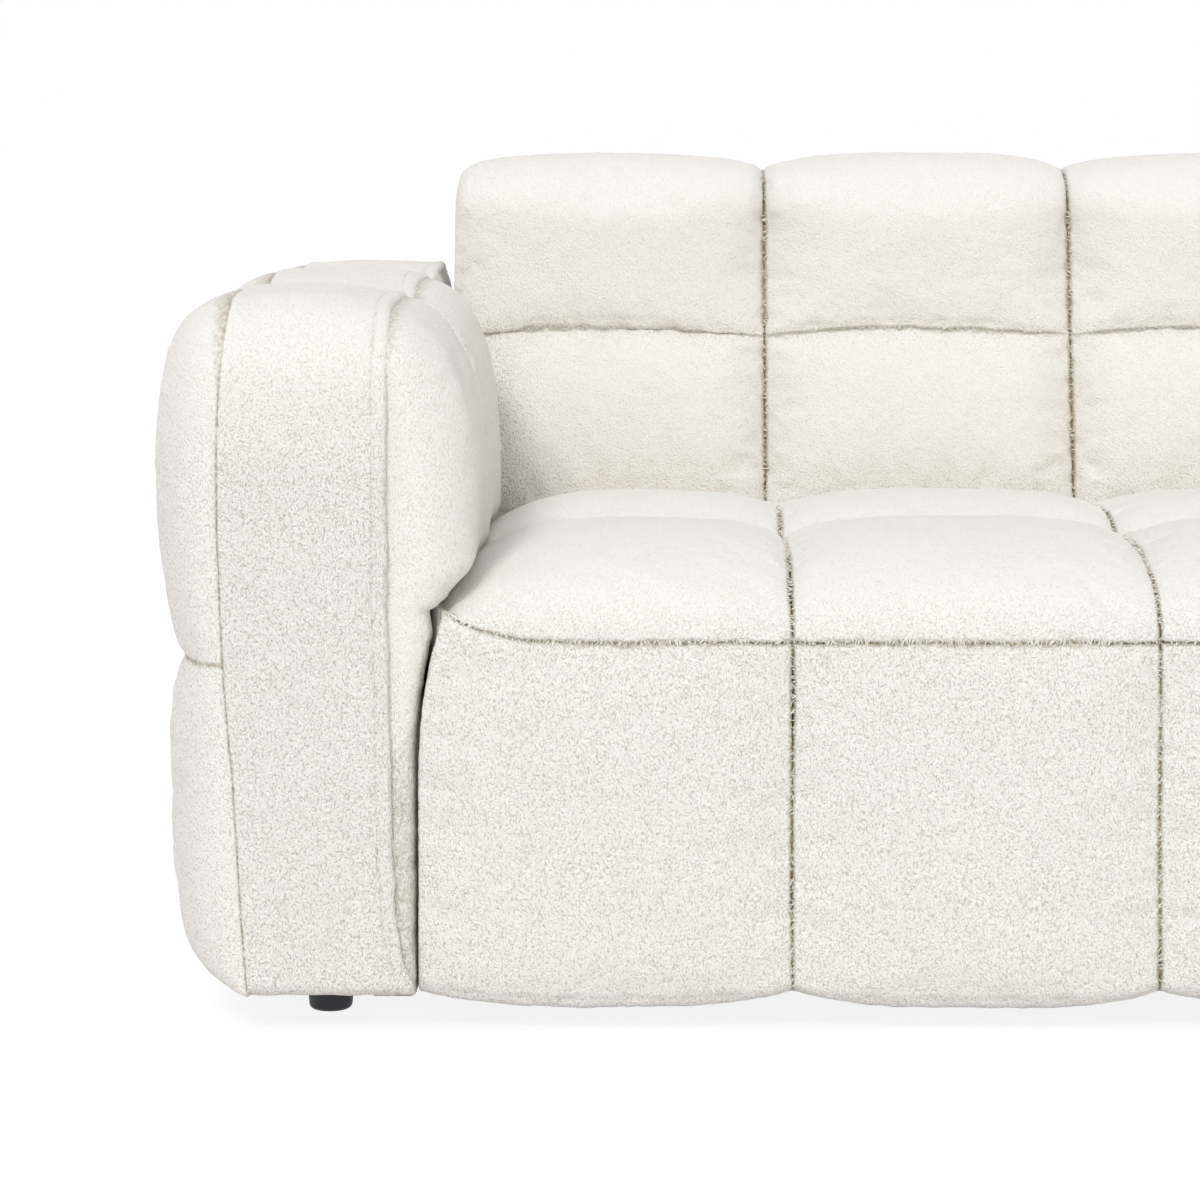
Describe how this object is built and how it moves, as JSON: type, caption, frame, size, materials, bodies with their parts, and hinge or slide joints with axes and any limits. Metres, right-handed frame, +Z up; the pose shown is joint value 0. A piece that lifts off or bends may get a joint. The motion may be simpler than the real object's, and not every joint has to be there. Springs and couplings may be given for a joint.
{
  "type": "upholstered sofa",
  "caption": "Low three-seat sofa with a tufted boucle seat and leaning tufted back between two lower soft block arms, on short round feet.",
  "frame": {"origin": "on the floor, at the middle of the sofa's width and depth", "axes": "+X along the width to the sitter's left, +Y to the rear, +Z up; the front faces -Y"},
  "size_m": [2.2508, 0.9, 0.706],
  "materials": {
    "boucle_fabric": "off-white looped boucle",
    "foam": "matt open-cell foam",
    "felt": "needled felt",
    "webbing": "woven elastic webbing",
    "dust_cloth": "thin non-woven cloth",
    "timber": "planed softwood",
    "plywood": "raw plywood",
    "hardboard": "smooth hardboard",
    "zinc_steel": "zinc plated",
    "foot_plastic": "black moulded plastic"
  },
  "bodies": {
    "root": {"seat_cover": "boucle_fabric", "seat_foam": "foam", "seat_felt": "felt", "seat_springs": "zinc_steel", "spring_clips": "zinc_steel", "spring_tie_wires": "zinc_steel", "seat_front_rail": "timber", "seat_rear_rail": "timber", "seat_side_rails": "timber", "seat_stretchers": "timber", "seat_corner_blocks": "timber", "centre_foot_blocks": "timber", "seat_dust_cover": "dust_cloth", "back_cover": "boucle_fabric", "back_foam": "foam", "back_webbing": "webbing", "back_uprights": "plywood", "back_bottom_rail": "timber", "back_top_rail": "timber", "back_rear_rail": "timber", "back_rear_panel": "hardboard", "back_dust_cover": "dust_cloth", "arm_cover_left": "boucle_fabric", "arm_cover_right": "boucle_fabric", "arm_inner_pad_left": "foam", "arm_inner_pad_right": "foam", "arm_outer_pad_left": "foam", "arm_outer_pad_right": "foam", "arm_top_pad_left": "foam", "arm_top_pad_right": "foam", "arm_posts_left": "plywood", "arm_posts_right": "plywood", "arm_battens_left": "timber", "arm_battens_right": "timber", "arm_top_board_left": "plywood", "arm_top_board_right": "plywood", "arm_bottom_board_left": "plywood", "arm_bottom_board_right": "plywood", "arm_inner_panel_left": "hardboard", "arm_inner_panel_right": "hardboard", "arm_outer_panel_left": "hardboard", "arm_outer_panel_right": "hardboard", "arm_dust_cover_left": "dust_cloth", "arm_dust_cover_right": "dust_cloth", "joining_spacers": "timber", "joining_bolts": "zinc_steel", "joining_washers": "zinc_steel", "joining_tee_nuts": "zinc_steel", "feet": "foot_plastic", "foot_studs": "zinc_steel", "foot_tee_nuts": "zinc_steel"}
  },
  "joints": []
}
